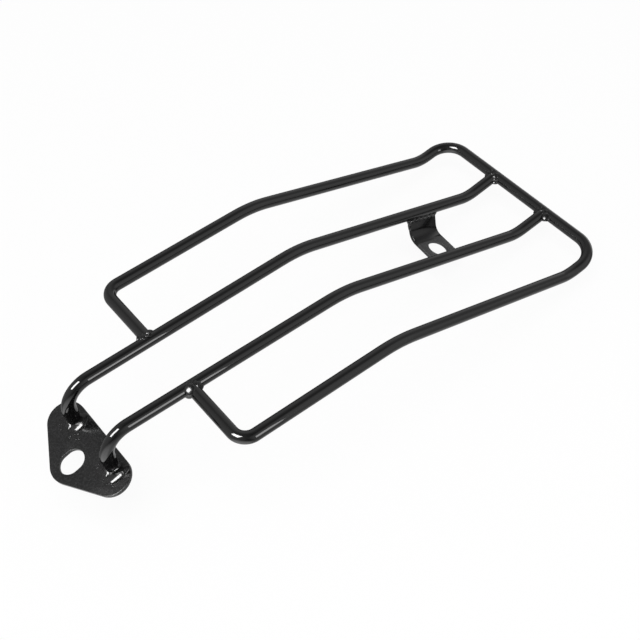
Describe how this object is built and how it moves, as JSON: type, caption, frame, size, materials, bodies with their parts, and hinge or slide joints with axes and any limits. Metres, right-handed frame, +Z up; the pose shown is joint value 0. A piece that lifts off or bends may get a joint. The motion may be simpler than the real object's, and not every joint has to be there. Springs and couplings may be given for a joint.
{
  "type": "motorcycle luggage rack",
  "caption": "Solo motorcycle luggage rack welded from round steel bar: bent inner rails on a slotted front plate, an outer loop around them and a drilled rear tab.",
  "frame": {"origin": "middle of the slot in the front plate, on the plate's underside", "axes": "+X runs along the rack to the rear crossbar, +Z up, so +Y is the right of a rider who faces forward along -X; the tab hangs from the rail on the +Y side"},
  "size_m": [0.3967, 0.16, 0.0644],
  "materials": {
    "bar": "gloss black",
    "plate": "semi-gloss black",
    "weld": "gloss black over weld beads"
  },
  "bodies": {
    "root": {"outer_loop": "bar", "right_inner_rail": "bar", "left_inner_rail": "bar", "front_plate": "plate", "rear_tab": "plate", "right_foot_weld": "weld", "left_foot_weld": "weld", "right_loop_weld": "weld", "left_loop_weld": "weld", "right_crossbar_weld": "weld", "left_crossbar_weld": "weld", "tab_top_weld": "weld", "tab_edge_weld": "weld"}
  },
  "joints": []
}
